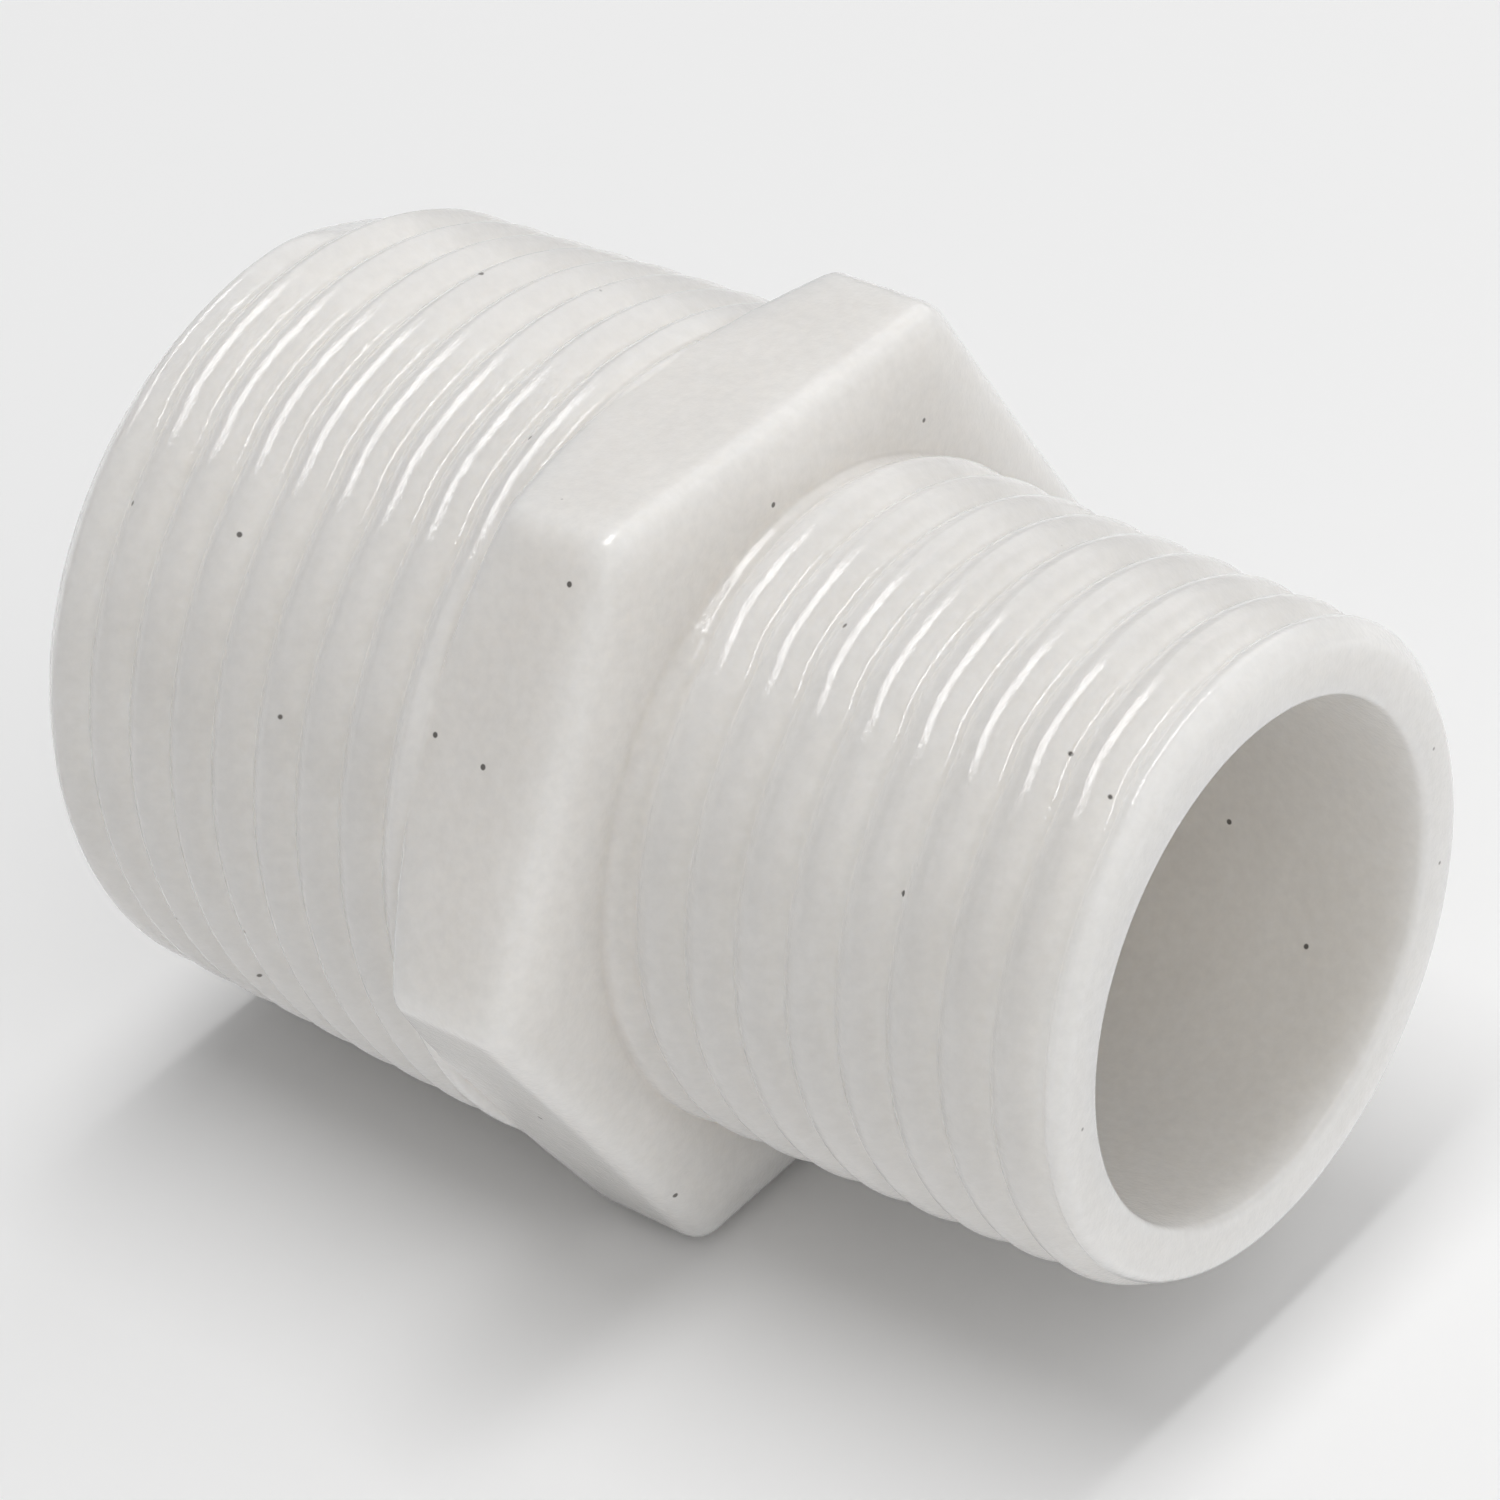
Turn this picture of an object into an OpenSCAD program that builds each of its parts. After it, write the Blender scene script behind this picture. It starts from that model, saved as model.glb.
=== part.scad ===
// Reducing hex nipple, moulded in one piece: two male taper pipe threads on a hexagonal collar.
// The axis lies along X, from the large end at the origin to the small end. Two flats of the
// hexagon are level, so the part lies as it does on a bench. Threads are right-handed.

/* [Pipe threads] */
// Outside diameter of the pipe that the large thread is named after (3/4 inch)
large_pipe_od = 26.67; // [26:0.01:27]
// Outside diameter of the pipe that the small thread is named after (1/2 inch)
small_pipe_od = 21.34; // [20.6:0.01:21.6]
// Turns in one inch, the same on both threads
turns_per_inch = 14; // [12:1:18]
// Taper of both threads, on diameter
thread_taper = 0.0625; // [0.03:0.0005:0.08]
// Width of the flat on top of each thread crest, in pitches
crest_share = 0.083; // [0.04:0.001:0.15]
// Width of the flat at the bottom of each groove, in pitches
root_share = 0.09; // [0.04:0.001:0.15]
// Turn of the large thread about the axis, which sets where its groove meets the end face
large_start_angle = 225; // [0:5:355]
// Turn of the small thread about the axis, which sets where its groove meets the end face
small_start_angle = 270; // [0:5:355]

/* [Lengths] */
// Length of the large thread, end face to collar
large_length = 16.4; // [12:0.1:20]
// Length of the collar's flats
collar_length = 5; // [4:0.1:10]
// Height of the low bevel on the small side of the collar
bevel_height = 0.45; // [0.2:0.05:1]
// Length of the small thread, bevel to end face
small_length = 16.15; // [12:0.05:20]

/* [Collar] */
// Distance across the flats of the hexagon
across_flats = 26.4; // [26:0.1:30]
// Diameter over the rounded corners of the hexagon
across_corners = 30.3; // [29.6:0.1:30.4]
// Width of the bevel along each edge on the small side
bevel_width = 1.8; // [0.5:0.1:2]
// Diameter at which the corner chamfer starts on the large side
chamfer_start_d = 27; // [26:0.1:29]
// Angle of the corner chamfer from the collar's side face
chamfer_angle = 30; // [15:1:45]

/* [Bore] */
// Diameter of the bore under the small thread
small_bore_d = 16.3; // [12:0.1:16.6]
// Diameter of the bore under the large thread
large_bore_d = 20.6; // [17:0.1:21.4]
// Distance from the end of the large bore to the collar
bore_setback = 1.8; // [1:0.1:4]
// Length of the cone between the two bores
bore_cone_length = 3; // [1:0.1:4]

/* [End faces] */
// Chamfer on the outside of the large end
large_chamfer = 1.05; // [0.3:0.05:1.2]
// Chamfer on the outside of the small end
small_chamfer = 0.6; // [0.3:0.05:1]

/* [Hidden] */
nylon_colour = [0.88, 0.88, 0.86];
inch = 25.4;
pitch = inch / turns_per_inch;
// Slope of a crest line against the axis: half the taper, because taper is on diameter
slope = thread_taper / 2;
// Height of the standard thread form, in pitches
standard_height = 0.8;
// Half the angle between the two flanks of a groove
flank_angle = 30;
crest_flat = crest_share * pitch;
root_flat = root_share * pitch;
flank_run = (pitch - crest_flat - root_flat) / 2;
thread_depth = flank_run / tan(flank_angle);
collar_start = large_length;
bevel_start = collar_start + collar_length;
small_start = bevel_start + bevel_height;
total_length = small_start + small_length;
large_bore_length = collar_start - bore_setback;
// Columns of points in one turn of a thread
segments = 40;
round_fn = 96;
// How far each thread runs on into the collar
overlap = 0.5;
// How far the bores run past the end faces
overrun = 1;
// Height over the end radius that no crest reaches, where the end chamfer can stop
head_room = 2;

// Pitch diameter at the small end of a taper pipe thread, from the thread standard
function end_pitch_d(pipe_od) = pipe_od - (0.05 * pipe_od / inch + 1.1) * pitch;
// Radius over the crests at the small end of the thread
function end_crest_r(pipe_od) = (end_pitch_d(pipe_od) + standard_height * pitch) / 2;

large_end_r = end_crest_r(large_pipe_od);
small_end_r = end_crest_r(small_pipe_od);

// One turn of the thread form as [place along the axis in the turn, depth under the crest line]
FORM = [
    [0, thread_depth],
    [root_flat, thread_depth],
    [root_flat + flank_run, 0],
    [root_flat + flank_run + crest_flat, 0],
];
FORM_COUNT = len(FORM);

// A screw whose crest line has radius end_r at z = 0 and grows along +Z.
// Points run along the helix, column by column, so that every edge follows a crest or a root.
// Both ends are closed by a fan to a point on the axis.
module screw(end_r, length) {
    turns = ceil(length / pitch) + 2;
    columns = turns * segments;
    // The last column and the last row close the surface on the turn that follows
    function place(i) = pitch * (floor(i / FORM_COUNT) / segments - 1);
    function form(i) = FORM[i % FORM_COUNT];
    function screw_point(i) =
        let (
            angle = 360 * floor(i / FORM_COUNT) / segments,
            z = place(i) + form(i)[0],
            r = end_r + slope * z - form(i)[1]
        )
        [r * cos(angle), r * sin(angle), z];
    side_count = (columns + 1) * FORM_COUNT;
    points = [
        for (i = [0 : side_count - 1]) screw_point(i),
        [0, 0, -pitch],
        [0, 0, pitch * turns],
    ];
    // Index of a point by column and by row of the form; a full form is one turn further on
    function at(column, row) = row < FORM_COUNT
        ? column * FORM_COUNT + row
        : (column + segments) * FORM_COUNT;
    last = columns - segments;
    sides = [
        for (c = [0 : last - 1], j = [0 : FORM_COUNT - 1], half = [0, 1])
            half == 0
                ? [at(c, j), at(c, j + 1), at(c + 1, j + 1)]
                : [at(c, j), at(c + 1, j + 1), at(c + 1, j)],
    ];
    start_fan = [for (c = [0 : segments - 1]) [side_count, at(c, 0), at(c + 1, 0)]];
    start_step = [for (j = [0 : FORM_COUNT - 1]) [side_count, at(0, j + 1), at(0, j)]];
    end_fan = [for (c = [0 : segments - 1]) [side_count + 1, at(last + c + 1, 0), at(last + c, 0)]];
    end_step = [for (j = [0 : FORM_COUNT - 1]) [side_count + 1, at(last, j), at(last, j + 1)]];
    polyhedron(points = points, faces = concat(sides, start_fan, start_step, end_fan, end_step));
}

// A thread of the given length with a flat, chamfered end face at z = 0
module thread(end_r, length, start_angle, chamfer) {
    intersection() {
        rotate([0, 0, start_angle])
            screw(end_r, length);
        rotate_extrude($fn = round_fn)
            polygon([
                [0, 0],
                [end_r - chamfer, 0],
                [end_r + head_room, chamfer + head_room],
                [end_r + head_room, length],
                [0, length],
            ]);
    }
}

// The hexagonal collar, with rounded corners, a corner chamfer on the large side and a low bevel
// along each edge of the small side. The chamfer is a pyramid of many narrow flat sides, so that it
// cuts the wrench flats along straight edges.
module collar() {
    flats_r = across_flats / 2 / cos(30);
    bevel_r = (across_flats / 2 - bevel_width) / cos(30);
    chamfer_r = chamfer_start_d / 2;
    height = collar_length + bevel_height;
    intersection() {
        union() {
            rotate([0, 0, 30])
                cylinder(h = collar_length, r = flats_r, $fn = 6);
            translate([0, 0, collar_length])
                rotate([0, 0, 30])
                    cylinder(h = bevel_height, r1 = flats_r, r2 = bevel_r, $fn = 6);
        }
        cylinder(h = height, d = across_corners, $fn = round_fn);
        linear_extrude(height = height, scale = 1 + height / tan(chamfer_angle) / chamfer_r)
            circle(r = chamfer_r, $fn = round_fn);
    }
}

// The stepped water way, open at both ends
module water_way() {
    cone_start = large_bore_length;
    cone_end = cone_start + bore_cone_length;
    translate([0, 0, -overrun])
        cylinder(h = cone_start + overrun, d = large_bore_d, $fn = round_fn);
    translate([0, 0, cone_start])
        cylinder(h = bore_cone_length, d1 = large_bore_d, d2 = small_bore_d, $fn = round_fn);
    translate([0, 0, cone_end])
        cylinder(h = total_length - cone_end + overrun, d = small_bore_d, $fn = round_fn);
}

module fitting_body() {
    color(nylon_colour)
        rotate([0, 90, 0])
            difference() {
                union() {
                    thread(large_end_r, large_length + overlap, large_start_angle, large_chamfer);
                    translate([0, 0, collar_start])
                        collar();
                    translate([0, 0, total_length])
                        rotate([180, 0, 0])
                            thread(small_end_r, small_length + overlap, small_start_angle, small_chamfer);
                }
                water_way();
            }
}

fitting_body();
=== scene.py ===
import math

import bpy
import numpy as np
from mathutils import Matrix, Vector


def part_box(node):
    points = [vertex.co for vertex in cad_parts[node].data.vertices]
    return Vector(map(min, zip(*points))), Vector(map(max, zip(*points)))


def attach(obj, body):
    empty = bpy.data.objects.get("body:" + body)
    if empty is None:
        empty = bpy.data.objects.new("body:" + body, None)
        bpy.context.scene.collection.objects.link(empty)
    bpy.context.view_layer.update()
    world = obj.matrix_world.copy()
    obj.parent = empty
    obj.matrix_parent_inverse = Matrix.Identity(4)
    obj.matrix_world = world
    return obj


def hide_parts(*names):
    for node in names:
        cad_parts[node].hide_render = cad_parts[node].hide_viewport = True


# The moulded nipple is one piece, so one mesh stands for the one CAD node.
# The part's frame is the CAD's: axis along X from the large end (x = 0) to the small end, +Z up.
# Shape values are millimetres and degrees, and angles about the axis run from +Z towards -Y.
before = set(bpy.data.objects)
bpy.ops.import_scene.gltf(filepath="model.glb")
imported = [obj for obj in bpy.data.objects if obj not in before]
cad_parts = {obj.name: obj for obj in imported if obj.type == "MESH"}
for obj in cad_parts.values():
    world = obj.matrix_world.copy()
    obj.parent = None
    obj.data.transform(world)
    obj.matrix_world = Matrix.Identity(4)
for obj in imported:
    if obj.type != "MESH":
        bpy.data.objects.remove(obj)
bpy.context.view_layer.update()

MM = 0.001
NODE = "fitting_body"
BODY = "root"

# Pipe threads: both have the same pitch, the same taper and the same form
PITCH = 25.4 / 14
SLOPE = 1 / 32
FORM_DEPTH = 0.72
CREST_FLAT = 0.08
# Run of a groove's flank for each unit of its depth
FLANK = math.tan(math.radians(43))
# Beside the narrow crest lies a land that slopes gently, and the flank starts where it ends
LAND = 0.34
CREST_ROUND = 0.02
LAND_ROUND = 0.08
ROOT_ROUND = 0.60
# Places across one turn of the form, from crest to crest, where a row of points runs
FORM_ROWS = (0.03, 0.06, 0.14, 0.24, 0.32, 0.42, 0.58, 0.76, 0.95, 1.15, 1.36, 1.56, 1.70, 1.784)

LENGTH = 38.0
LARGE_R = 12.985
LARGE_CREST = 0.762
LARGE_CHAMFER = 1.05
LARGE_BAND = (0.30, 16.10)
SMALL_R = 10.335
SMALL_CREST = 37.4645
SMALL_CHAMFER = 0.60
SMALL_BAND = (22.15, 37.72)
LARGE_LAND_SLOPE = math.tan(math.radians(23.6))
SMALL_LAND_SLOPE = math.tan(math.radians(15.5))
CHAMFER_ROUND = 0.25
# Both threads run out beside the collar, where a shallow cone fills their last groove
LARGE_RUN_OUT_R = 13.3
SMALL_RUN_OUT_R = 10.75
RUN_OUT_SLOPE = 0.5
RUN_OUT_ROUND = 0.15
# The large thread grows out of a plain band beside the end face, over a short turn
BAND_R = 12.25
START_ANGLE = (-22, 24)
START_RISE = 1.6
# A dent in its first turn, where the mould parts
DENT = 0.22
DENT_ANGLE = 45
DENT_SPAN = 8

# Collar
COLLAR_START = 16.4
BEVEL_START = 21.4
FACE = 21.85
APOTHEM = 13.2
BEVEL_APOTHEM = 11.4
CORNER_ROUND = 0.045
CORNER_CHAMFER_R = 13.5
CORNER_CHAMFER_SLOPE = math.tan(math.radians(30))
SINK = 0.05

# Water way
SMALL_BORE = 8.15
LARGE_BORE = 10.3
CONE = (14.6, 17.6)

# The mould opens in a plane through two opposite corners of the collar
PARTING = (30.0, 210.0)
PARTING_SHIFT = 0.24
# Degrees on each side of a parting line over which the shift comes in
PARTING_REACH = 3.5
FLASH_HEIGHT = 0.012
FLASH_WIDTH = 0.10

# Points round the axis, with extra ones near the collar's corners and the parting lines:
# how many times closer they lie there, and over how many degrees
COLUMNS = 252
CORNER_EXTRA = 1.6
CORNER_REACH = 2.5
LINE_EXTRA = 5
LINE_REACH = 0.8
# Least distance along the axis between a band's ring and the first row of its thread
ROW_MARGIN = 0.035
# Share of the threads' relief that the light inside the nylon doesn't see
SOFTENED = 0.80
# Length at each end of a thread over which that softening fades out
FADE = 0.8
# Depth in a groove, as a share of its full depth, where the painted light and shade leave the nylon as
# bright as the collar
MEAN_DEPTH = 0.45
# Painted shade under a crest and painted light at the form's full depth: factors on the base colour that
# stand in for light and cancel the grooves' shade
CREST_PAINTED_SHADE = (0.90, 0.90, 0.90, 1)
GROOVE_PAINTED_LIGHT = (1.20, 1.20, 1.20, 1)

# Nylon: clear and clouded colour, and the dark specks, whose edge is a share of their spacing
CLEAR = (0.765, 0.745, 0.718, 1)
MILKY = (0.795, 0.774, 0.746, 1)
SPECK = (0.16, 0.15, 0.14, 1)
SPECK_CELLS = 400
SPECK_EDGE = (0.030, 0.045)
# Half width of the floor, in metres
FLOOR_HALF = 3.0

# Lights: azimuth, elevation, distance, width and height in metres, radiance
LIGHTS = {
    "overhead": (0, 90, 0.61, (0.14, 0.5), 8.0),
    "behind": (180, 45, 0.62, (0.5, 0.5), 0.9),
    "wide_front": (45, 35, 0.95, (1.7, 1.15), 0.33),
    "small_end_fill": (90, 38, 0.95, (1.7, 1.15), 0.48),
}
WORLD_STRENGTH = 0.20

# Camera: place in millimetres, the directions it looks and has on its right, and its lens
CAMERA_PLACE = (113.13, -100.16, 98.99)
CAMERA_FORWARD = (-0.5578, 0.5909, -0.5829)
CAMERA_RIGHT = (0.7689, 0.6324, -0.0947)
CAMERA_LENS = 132.0
CAMERA_SENSOR = 36


# ---------------------------------------------------------------- shape helpers

def soft_min(a, b, k):
    """The smaller of a and b, rounded where they meet. k is how close they are when it starts."""
    h = np.clip(0.5 + 0.5 * (b - a) / k, 0, 1)
    return b + (a - b) * h - k * h * (1 - h)


def soft_max(a, b, k):
    """The larger of a and b, rounded where they meet."""
    return -soft_min(-a, -b, k)


def turned(angle, centre):
    """How far an angle is from a centre, from -180 to 180."""
    return (angle - centre + 180) % 360 - 180


def column_angles():
    """Angles of the columns: close together at the collar's corners, closest at the parting lines."""
    fine = np.linspace(0, 360, 7201)
    density = np.ones_like(fine)
    for corner in range(30, 360, 60):
        density += CORNER_EXTRA * np.exp(-(turned(fine, corner) / CORNER_REACH) ** 2)
    for line in PARTING:
        density += LINE_EXTRA * np.exp(-(turned(fine, line) / LINE_REACH) ** 2)
    total = np.concatenate([[0], np.cumsum((density[1:] + density[:-1]) / 2)])
    return np.interp(np.arange(COLUMNS) / COLUMNS * total[-1], total, fine)


def lower_half(angle):
    """1 on the lower mould half, 0 on the upper one, with a quick change at the parting lines."""
    middle = (PARTING[0] + PARTING[1]) / 2
    inside = 90 - np.abs(turned(angle, middle))
    return 0.5 + 0.5 * np.tanh(inside / PARTING_REACH)


def flash(angle, r):
    """Height of the thin ridge that the mould's parting lines leave."""
    ridge = 0
    for line in PARTING:
        arc = np.radians(turned(angle, line)) * r
        ridge = ridge + np.exp(-(arc / FLASH_WIDTH) ** 2)
    return FLASH_HEIGHT * ridge


def waviness(x, angle):
    """Slow unevenness of a moulded surface, a few hundredths of a millimetre."""
    a = np.radians(angle)
    along = np.sin(0.9 * x + 2 * a) + np.sin(0.47 * x - 3 * a + 1.3)
    around = np.sin(5 * a + 0.3 * x + 0.6) + np.sin(2 * a + 2.1)
    return 0.008 * (along + around)


def form_depth(gap, land_slope):
    """Depth of the rounded thread form under its crest, at a distance from the crest's middle.

    The crest is flat, the land beside it slopes gently, and the flank goes down to a round root."""
    land = (gap - CREST_FLAT / 2) * land_slope
    flank = (gap - CREST_FLAT / 2 - LAND) / FLANK + LAND * land_slope
    top = soft_max(soft_max(land, 0, CREST_ROUND), flank, LAND_ROUND)
    return soft_min(top, FORM_DEPTH, ROOT_ROUND)


def thread_r(x, angle, crest, crest_line, end_cone, land_slope):
    """Radius of a thread: its crest line less the form's depth, inside the end chamfer's cone."""
    turn = (x - crest) / PITCH - angle / 360
    gap = np.abs(turn - np.round(turn)) * PITCH
    r = crest_line - form_depth(gap, land_slope)
    return soft_min(r, end_cone, CHAMFER_ROUND) + waviness(x, angle)


def smooth_step(value, low, high):
    """0 below low, 1 above high, and a smooth change between them."""
    t = np.clip((value - low) / (high - low), 0, 1)
    return t * t * (3 - 2 * t)


def large_start(x, angle, crest):
    """Radius that the start of the large thread can't pass, from the angle along its helix."""
    along = 360 * np.round((x - crest) / PITCH - angle / 360) + angle
    dent = DENT * np.exp(-((along - DENT_ANGLE) / DENT_SPAN) ** 2)
    return BAND_R + START_RISE * smooth_step(along, *START_ANGLE) - dent


def large_r(x, angle):
    """Radius of the large thread. The mould halves sit a little apart, so its turns shift."""
    crest = LARGE_CREST + PARTING_SHIFT * lower_half(angle)
    cone = soft_min(LARGE_R - LARGE_CHAMFER + x, large_start(x, angle, crest), CHAMFER_ROUND)
    r = thread_r(x, angle, crest, LARGE_R + SLOPE * x, cone, LARGE_LAND_SLOPE)
    run_out = LARGE_RUN_OUT_R - RUN_OUT_SLOPE * (COLLAR_START - x)
    return soft_max(r, run_out, RUN_OUT_ROUND) + flash(angle, LARGE_R)


def small_r(x, angle):
    """Radius of the small thread, with the same shift."""
    s = LENGTH - x
    crest = SMALL_CREST + PARTING_SHIFT * lower_half(angle)
    cone = SMALL_R - SMALL_CHAMFER + s
    r = thread_r(x, angle, crest, SMALL_R + SLOPE * s, cone, SMALL_LAND_SLOPE)
    run_out = SMALL_RUN_OUT_R - RUN_OUT_SLOPE * (x - FACE)
    return soft_max(r, run_out, RUN_OUT_ROUND) + flash(angle, SMALL_R)


def hexagon(angle):
    """Radius of a hexagon with rounded corners and an apothem of 1, with flats above and below."""
    off = np.radians(np.abs((angle + 30) % 60 - 30))
    return soft_min(1 / np.cos(off), 1 / np.cos(math.radians(60) - off), CORNER_ROUND)


def flat_share(angle):
    """1 in the middle of a flat, 0 at the corners."""
    off = np.abs((angle + 30) % 60 - 30) / 30
    return (1 - off ** 2) ** 2


# ---------------------------------------------------------------- mesh building

class Shell:
    """Points and faces of a closed shell round the X axis, made of rings and of helical bands."""

    def __init__(self, angles):
        self.angles = angles
        self.points = []
        self.faces = []
        self.count = 0

    def ring(self, x, r):
        """Adds one ring of points and returns their numbers."""
        x = np.broadcast_to(x, self.angles.shape)
        a = np.radians(self.angles)
        self.points.append(np.stack([x, -r * np.sin(a), r * np.cos(a)], axis=1))
        start = self.count
        self.count += len(a)
        return np.arange(start, self.count)

    def run(self, rows):
        """Adds rings one after another, joined by quads, and returns the first and the last."""
        rings = [self.ring(x, r) for x, r in rows]
        for near, far in zip(rings[:-1], rings[1:]):
            quads = np.stack([near, np.roll(near, -1), np.roll(far, -1), far], axis=1)
            self.faces.extend(quads.tolist())
        return rings[0], rings[-1]

    def band(self, first, last, limits, crest, shift, radius):
        """Fills the space between two rings with rows that follow a thread's helix.

        Returns the numbers of the band's points."""
        per_turn = len(FORM_ROWS)
        start = self.count
        low, high = limits
        turns = range(int((low - crest) / PITCH) - 3, int((high - crest) / PITCH) + 4)
        places = np.array([k * PITCH + row for k in turns for row in FORM_ROWS]) + crest
        columns = []
        for column, angle in enumerate(self.angles):
            x = places + PITCH * angle / 360 + shift[column]
            kept = np.nonzero((x > low + ROW_MARGIN) & (x < high - ROW_MARGIN))[0]
            r = radius(x[kept], angle)
            a = math.radians(angle)
            self.points.append(np.stack([x[kept], -r * math.sin(a), r * math.cos(a)], axis=1))
            numbers = np.arange(self.count, self.count + len(kept))
            self.count += len(kept)
            columns.append((kept[0], numbers))
        self.join(columns, first, last, per_turn)
        return np.arange(start, self.count)

    def join(self, columns, first, last, per_turn):
        """Joins neighbouring columns of a band with quads, and with a triangle where a row ends."""
        total = len(columns)
        for c in range(total):
            n = (c + 1) % total
            step = per_turn if n == 0 else 0
            start, here = columns[c]
            other_start, there = columns[n]
            offset = start - (other_start - step)
            self.side(here, there, offset, (first[c], first[n]), (last[c], last[n]))

    def side(self, here, there, offset, low, high):
        """Faces between two columns. Row i of the left one is level with row i + offset of the right."""
        for i in range(len(here) - 1):
            j = i + offset
            if j < 0:
                self.faces.append([here[i], there[0], here[i + 1]])
            elif j + 1 >= len(there):
                self.faces.append([here[i], there[-1], here[i + 1]])
            else:
                self.faces.append([here[i], there[j], there[j + 1], here[i + 1]])
        for j in range(offset):
            self.faces.append([here[0], there[j], there[j + 1]])
        top = len(there) - 1 - offset
        for i in range(len(here) - 1, top):
            self.faces.append([here[-1], there[i + offset], there[i + 1 + offset]])
        self.faces.append([low[0], low[1], there[0], here[0]])
        self.faces.append([here[-1], there[-1], high[1], high[0]])

    def mesh(self, name):
        """The shell as a smooth Blender mesh, in metres."""
        data = bpy.data.meshes.new(name)
        faces = [[int(i) for i in face] for face in self.faces]
        data.from_pydata((np.concatenate(self.points) * MM).tolist(), [], faces)
        data.polygons.foreach_set("use_smooth", [True] * len(data.polygons))
        data.validate()
        data.update()
        return data


def rounded(points, cuts, straight, corner):
    """Rows along a line of points in the (x, r) plane, with its corners rounded.

    points are (x, r) pairs, each a number or one value per column. cuts says how far from a corner
    its rounding starts. straight and corner are the numbers of rows on each stretch and corner."""
    size = (COLUMNS,)
    path = [np.stack([np.broadcast_to(x, size), np.broadcast_to(r, size)]) for x, r in points]
    rows = [path[0]]
    for i, count in enumerate(straight):
        start = rows[-1]
        if i + 1 == len(path) - 1:
            rows += [start + (path[-1] - start) * t / count for t in range(1, count + 1)]
            break
        here, after = path[i + 1], path[i + 2]
        back, ahead = path[i] - here, after - here
        back_length = np.hypot(*back)
        ahead_length = np.hypot(*ahead)
        cut = np.minimum(cuts[i], 0.45 * np.minimum(back_length, ahead_length))
        enter = here + back / back_length * cut
        leave = here + ahead / ahead_length * cut
        rows += [start + (enter - start) * t / count for t in range(1, count + 1)]
        for step in range(1, corner[i] + 1):
            t = step / corner[i]
            rows.append(enter * (1 - t) ** 2 + here * 2 * t * (1 - t) + leave * t ** 2)
    return [(row[0], row[1]) for row in rows]


def collar_rows(angles):
    """Rows from the large thread over the collar to the small thread."""
    flats = hexagon(angles)
    flat_r = (APOTHEM - SINK * flat_share(angles)) * flats + flash(angles, APOTHEM)
    side_r = np.minimum(CORNER_CHAMFER_R, flat_r)
    edge = COLLAR_START + (flat_r - CORNER_CHAMFER_R) * CORNER_CHAMFER_SLOPE
    points = [
        (LARGE_BAND[1], large_r(LARGE_BAND[1], angles)),
        (COLLAR_START - 0.08, large_r(COLLAR_START - 0.08, angles)),
        (COLLAR_START + 0.04, side_r),
        (np.maximum(edge, COLLAR_START + 0.2), flat_r),
        (BEVEL_START, flat_r),
        (FACE, BEVEL_APOTHEM * flats),
        (FACE + 0.02, small_r(FACE + 0.1, angles)),
        (SMALL_BAND[0], small_r(SMALL_BAND[0], angles)),
    ]
    cuts = (0.25, 0.2, 0.25, 0.8, 0.35, 0.4)
    straight = (1, 3, 5, 12, 6, 4, 1)
    corner = (4, 3, 5, 6, 5, 5)
    return rounded(points, cuts, straight, corner)


def end_and_bore_rows(angles):
    """Rows from the small thread over the small end, through the bore and over the large end."""
    low, high = LARGE_BAND[0], SMALL_BAND[1]
    points = [
        (high, small_r(high, angles)),
        (LENGTH, small_r(LENGTH, angles)),
        (LENGTH, SMALL_BORE),
        (CONE[1], SMALL_BORE),
        (CONE[0], LARGE_BORE),
        (0, LARGE_BORE),
        (0, large_r(0, angles)),
        (low, large_r(low, angles)),
    ]
    cuts = (0.28, 0.30, 0.8, 0.8, 0.30, 0.28)
    straight = (1, 5, 22, 5, 16, 5, 1)
    corner = (5, 6, 4, 4, 6, 5)
    return rounded(points, cuts, straight, corner)


def soft_normals(data, threads):
    """Stores normals for the light inside the nylon, with most of the threads' relief left out.

    Light spreads several millimetres in the real material, so it hardly shades a thread's flanks."""
    count = len(data.vertices)
    place = np.empty(count * 3)
    normal = np.empty(count * 3)
    data.vertices.foreach_get("co", place)
    data.vertex_normals.foreach_get("vector", normal)
    place = place.reshape(-1, 3) / MM
    normal = normal.reshape(-1, 3)
    outward = place * (0, 1, 1)
    outward /= np.linalg.norm(outward, axis=1)[:, None]
    share = np.zeros(count)
    depth = np.zeros(count)
    for (low, high), numbers, crest_line in threads:
        x = place[numbers, 0]
        share[numbers] = smooth_step(x, low, low + FADE) * smooth_step(-x, -high, FADE - high)
        depth[numbers] = (crest_line(x) - np.hypot(place[numbers, 1], place[numbers, 2])) / FORM_DEPTH
    mixed = normal * (1 - SOFTENED * share[:, None]) + outward * SOFTENED * share[:, None]
    mixed /= np.linalg.norm(mixed, axis=1)[:, None]
    stored = data.attributes.new("soft_normal", "FLOAT_VECTOR", "POINT")
    stored.data.foreach_set("vector", mixed.astype(np.float32).ravel())
    # Depth down each groove: the mask for the material's painted light in the grooves and painted shade
    # on the crests
    groove = data.attributes.new("groove", "FLOAT", "POINT")
    groove.data.foreach_set("value", ((np.clip(depth, 0, 1) - MEAN_DEPTH) * share).astype(np.float32))


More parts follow.
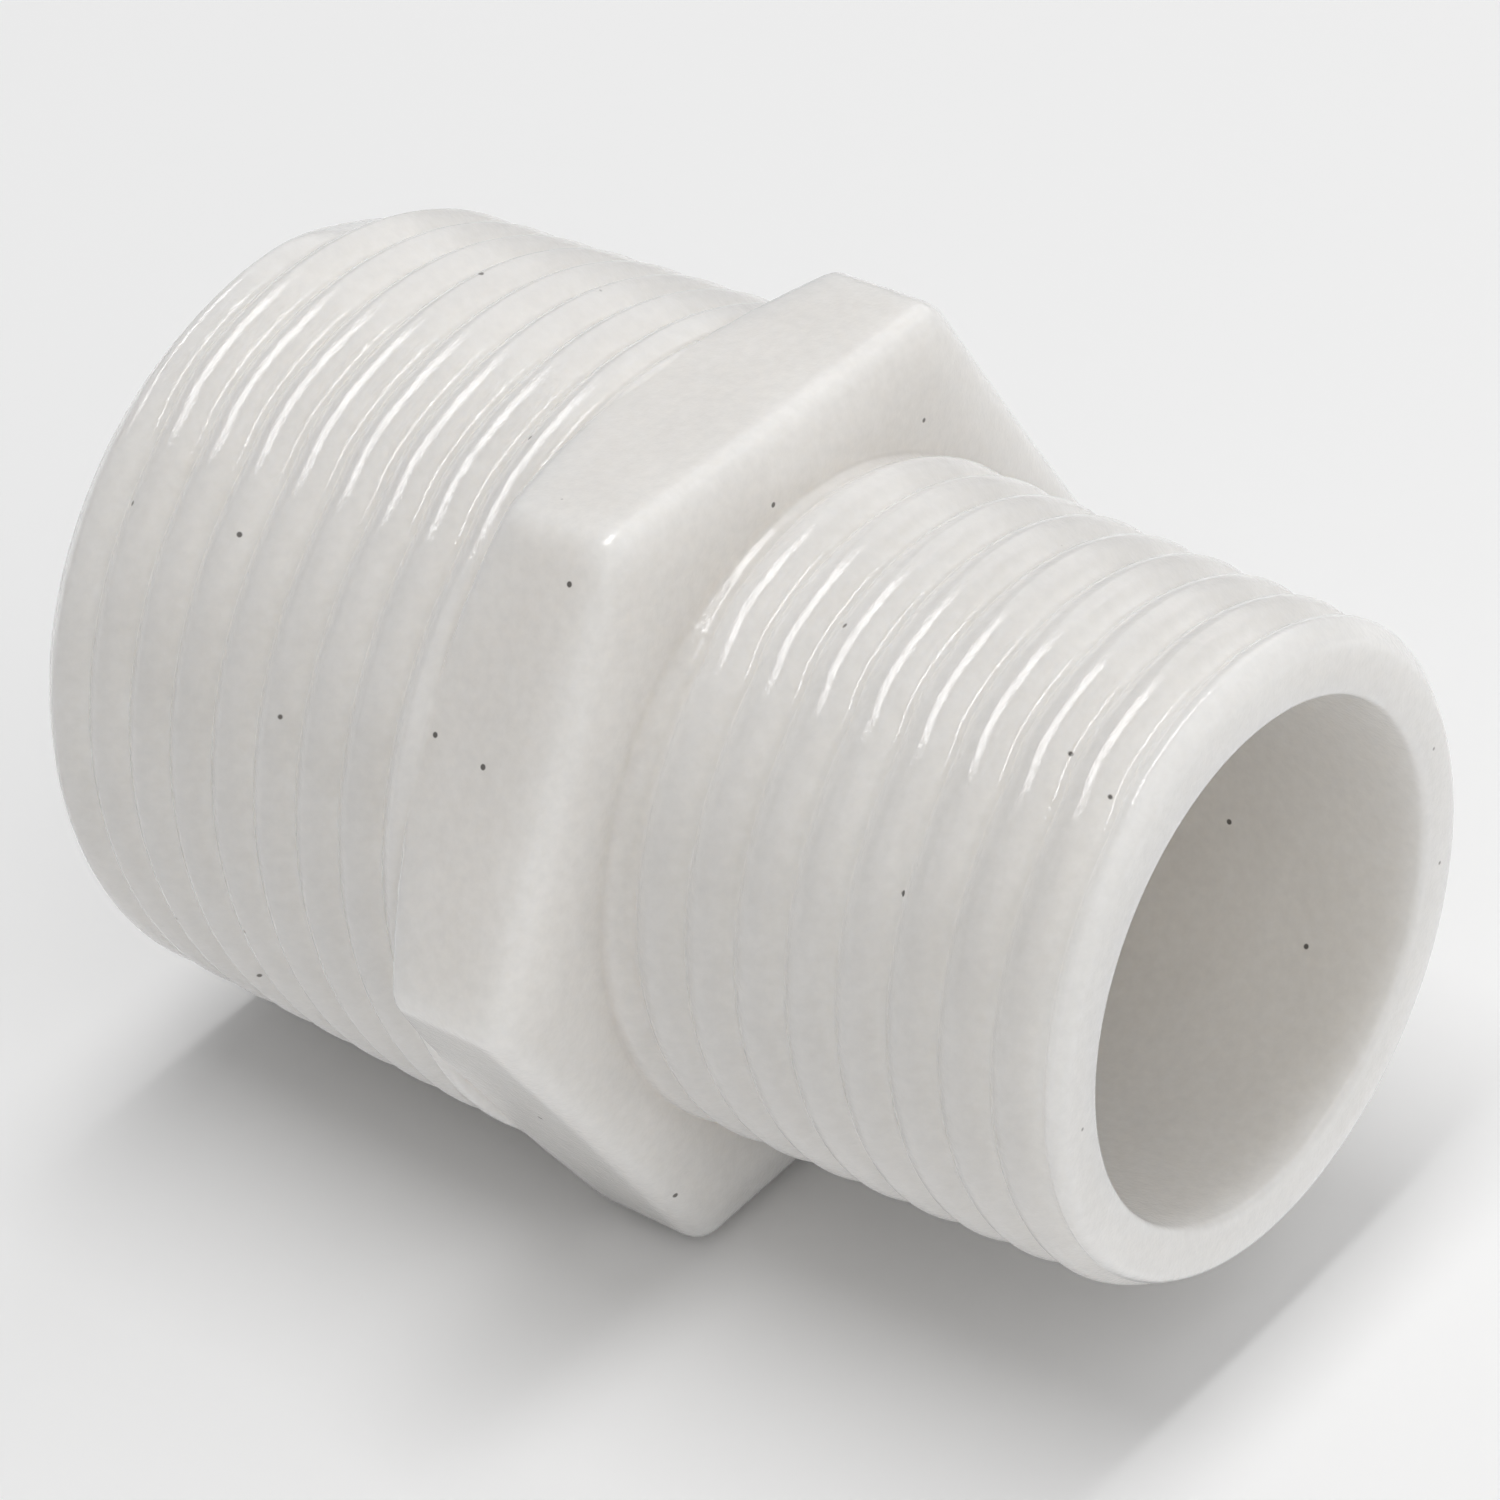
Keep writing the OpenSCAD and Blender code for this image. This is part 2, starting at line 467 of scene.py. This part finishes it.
def nipple():
    """The whole moulding as one closed shell."""
    angles = column_angles()
    shell = Shell(angles)
    collar_low, collar_high = shell.run(collar_rows(angles))
    bore_low, bore_high = shell.run(end_and_bore_rows(angles))
    shift = PARTING_SHIFT * lower_half(angles)
    large = shell.band(bore_high, collar_low, LARGE_BAND, LARGE_CREST, shift, large_r)
    small = shell.band(collar_high, bore_low, SMALL_BAND, SMALL_CREST, shift, small_r)
    piece = bpy.data.objects.new("moulded_nipple", shell.mesh("moulded_nipple"))
    soft_normals(piece.data, (
        (LARGE_BAND, large, lambda x: LARGE_R + SLOPE * x),
        (SMALL_BAND, small, lambda x: SMALL_R + SLOPE * (LENGTH - x)),
    ))
    bpy.context.scene.collection.objects.link(piece)
    return piece


# ---------------------------------------------------------------- materials

class Nodes:
    """Short calls for making one material's nodes."""

    def __init__(self, name):
        self.material = bpy.data.materials.new(name)
        self.material.use_nodes = True
        self.tree = self.material.node_tree
        self.shader = self.tree.nodes["Principled BSDF"]

    def add(self, kind, **settings):
        node = self.tree.nodes.new(kind)
        for key, value in settings.items():
            setattr(node, key, value)
        return node

    def link(self, source, target):
        self.tree.links.new(source, target)

    def noise(self, place, scale, detail, roughness=0.5):
        node = self.add("ShaderNodeTexNoise")
        self.link(place, node.inputs["Vector"])
        node.inputs["Scale"].default_value = scale
        node.inputs["Detail"].default_value = detail
        node.inputs["Roughness"].default_value = roughness
        return node.outputs["Fac"]

    def span(self, value, from_low, from_high, to_low, to_high):
        node = self.add("ShaderNodeMapRange")
        self.link(value, node.inputs["Value"])
        node.inputs["From Min"].default_value = from_low
        node.inputs["From Max"].default_value = from_high
        node.inputs["To Min"].default_value = to_low
        node.inputs["To Max"].default_value = to_high
        return node.outputs["Result"]

    def mix(self, factor, a, b):
        node = self.add("ShaderNodeMix", data_type="RGBA")
        self.link(factor, node.inputs["Factor"])
        for value, socket in ((a, node.inputs["A"]), (b, node.inputs["B"])):
            if isinstance(value, tuple):
                socket.default_value = value
            else:
                self.link(value, socket)
        return node.outputs["Result"]

    def times(self, a, b):
        node = self.add("ShaderNodeMix", data_type="RGBA", blend_type="MULTIPLY")
        node.inputs["Factor"].default_value = 1
        self.link(a, node.inputs["A"])
        self.link(b, node.inputs["B"])
        return node.outputs["Result"]

    def bump(self, height, distance, below=None):
        node = self.add("ShaderNodeBump")
        node.inputs["Distance"].default_value = distance
        node.inputs["Strength"].default_value = 1
        self.link(height, node.inputs["Height"])
        if below is not None:
            self.link(below, node.inputs["Normal"])
        return node.outputs["Normal"]


def nylon():
    """Natural nylon: translucent and milky, faintly clouded, with a fine moulded grain and specks, and
    with painted shade on the threads' crests and painted light down their grooves.
    """
    n = Nodes("moulded_nylon")
    place = n.add("ShaderNodeTexCoord").outputs["Object"]
    cloud = n.noise(place, 220, 3)
    mottle = n.noise(place, 2600, 3, 0.6)
    base = n.mix(n.span(cloud, 0.35, 0.65, 0, 1), CLEAR, MILKY)
    grain = n.mix(n.span(mottle, 0.3, 0.7, 0, 1), (0.95, 0.95, 0.95, 1), (1.01, 1.01, 1.01, 1))
    tint = n.times(base, grain)
    groove = n.add("ShaderNodeAttribute", attribute_name="groove").outputs["Fac"]
    # Painted light and shade: the base colour is darker on the crests and lighter down the grooves, in
    # place of the grooves' shade
    groove_painted_light = n.mix(n.span(groove, -MEAN_DEPTH, 1 - MEAN_DEPTH, 0, 1), CREST_PAINTED_SHADE, GROOVE_PAINTED_LIGHT)
    lit = n.times(tint, groove_painted_light)
    dirt = n.add("ShaderNodeTexVoronoi")
    dirt.inputs["Scale"].default_value = SPECK_CELLS
    n.link(place, dirt.inputs["Vector"])
    speck = n.span(dirt.outputs["Distance"], *SPECK_EDGE, 1, 0)
    n.link(n.mix(speck, lit, SPECK), n.shader.inputs["Base Color"])
    n.link(n.span(mottle, 0.3, 0.7, 0.26, 0.42), n.shader.inputs["Roughness"])
    soft = n.add("ShaderNodeAttribute", attribute_name="soft_normal").outputs["Vector"]
    n.link(n.bump(n.noise(place, 900, 2), 0.000004, soft), n.shader.inputs["Normal"])
    peel = n.bump(n.noise(place, 1500, 2), 0.00001)
    fine = n.bump(n.noise(place, 6500, 2, 0.6), 0.000016, peel)
    n.link(fine, n.shader.inputs["Coat Normal"])
    n.shader.inputs["Coat Weight"].default_value = 1
    n.shader.inputs["Coat Roughness"].default_value = 0.12
    n.shader.inputs["Coat IOR"].default_value = 1.53
    n.shader.inputs["Specular IOR Level"].default_value = 0
    n.shader.inputs["Subsurface Weight"].default_value = 1
    n.shader.inputs["Subsurface Radius"].default_value = (1.0, 0.96, 0.90)
    n.shader.inputs["Subsurface Scale"].default_value = 0.004
    return n.material


def floor_paint():
    """Matt white studio floor with a trace of unevenness."""
    n = Nodes("studio_floor")
    place = n.add("ShaderNodeTexCoord").outputs["Object"]
    cloud = n.noise(place, 6, 2)
    colour = n.mix(cloud, (0.93, 0.93, 0.93, 1), (0.95, 0.95, 0.95, 1))
    n.link(colour, n.shader.inputs["Base Color"])
    n.shader.inputs["Roughness"].default_value = 0.9
    n.shader.inputs["Specular IOR Level"].default_value = 0.1
    return n.material


# ---------------------------------------------------------------- studio

def studio_floor(level):
    """A wide pale floor that the part lies on."""
    data = bpy.data.meshes.new("studio_floor")
    signs = ((-1, -1), (1, -1), (1, 1), (-1, 1))
    corners = [(x * FLOOR_HALF, y * FLOOR_HALF, level) for x, y in signs]
    data.from_pydata(corners, [], [(0, 1, 2, 3)])
    floor = bpy.data.objects.new("studio_floor", data)
    floor.data.materials.append(floor_paint())
    bpy.context.scene.collection.objects.link(floor)


def softbox(name, azimuth, elevation, distance, size, radiance):
    """An area light that faces the part. Its power follows from how bright it looks.

    The azimuth runs from the front (-Y) towards the small end (+X). size is its width and height."""
    low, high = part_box(NODE)
    middle = (low + high) / 2
    turn, rise = math.radians(azimuth), math.radians(elevation)
    flat = math.cos(rise)
    outward = Vector((flat * math.sin(turn), -flat * math.cos(turn), math.sin(rise)))
    data = bpy.data.lights.new(name, "AREA")
    data.shape = "RECTANGLE"
    data.size, data.size_y = size
    data.energy = radiance * math.pi * size[0] * size[1]
    light = bpy.data.objects.new(name, data)
    light.location = middle + outward * distance
    light.rotation_euler = (-outward).to_track_quat("-Z", "Y").to_euler()
    bpy.context.scene.collection.objects.link(light)


def world_light(strength):
    """Even light from all round."""
    world = bpy.data.worlds.new("studio")
    world.use_nodes = True
    background = world.node_tree.nodes["Background"]
    background.inputs["Color"].default_value = (1, 1, 1, 1)
    background.inputs["Strength"].default_value = strength
    bpy.context.scene.world = world


def camera():
    """The photograph's view: from the small end's side, above and to the front, a little rolled."""
    place = Vector(CAMERA_PLACE) * MM
    forward = Vector(CAMERA_FORWARD).normalized()
    right = Vector(CAMERA_RIGHT)
    right = (right - forward * right.dot(forward)).normalized()
    up = right.cross(forward)
    data = bpy.data.cameras.new("camera")
    data.lens = CAMERA_LENS
    data.sensor_width = CAMERA_SENSOR
    data.clip_start = 0.01
    view = bpy.data.objects.new("camera", data)
    turn = Matrix((right, up, -forward)).transposed()
    view.matrix_world = Matrix.Translation(place) @ turn.to_4x4()
    bpy.context.scene.collection.objects.link(view)
    bpy.context.scene.camera = view


def main():
    camera()
    piece = nipple()
    piece.data.materials.append(nylon())
    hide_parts(NODE)
    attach(piece, BODY)
    low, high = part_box(NODE)
    studio_floor(low.z)
    for name, values in LIGHTS.items():
        softbox(name, *values)
    world_light(WORLD_STRENGTH)
    bpy.context.scene.view_settings.view_transform = "Standard"


main()
